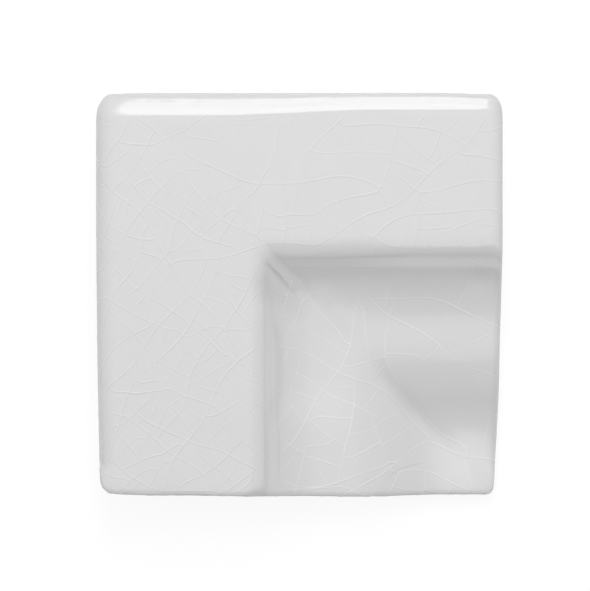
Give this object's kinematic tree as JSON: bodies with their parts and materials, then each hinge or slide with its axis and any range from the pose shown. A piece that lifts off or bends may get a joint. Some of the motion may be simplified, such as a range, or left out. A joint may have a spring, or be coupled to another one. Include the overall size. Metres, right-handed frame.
{
  "type": "corner tile insert",
  "caption": "Square relief tile in white crackle glaze: flat bands along two sides and, in the opposite quadrant, the mitred corner of a recessed panel moulding.",
  "frame": {"origin": "middle of the back, the plane that the tile is bedded on", "axes": "the tile lies on its back: +X to the right and +Y to the top as seen from the front, +Z out of the glazed face"},
  "size_m": [0.1, 0.099, 0.025],
  "materials": {
    "white_crackle_glaze": "glossy white crackle glaze on the face and sides, bare fired clay on the back"
  },
  "bodies": {
    "root": {"corner_tile": "white_crackle_glaze"}
  },
  "joints": []
}
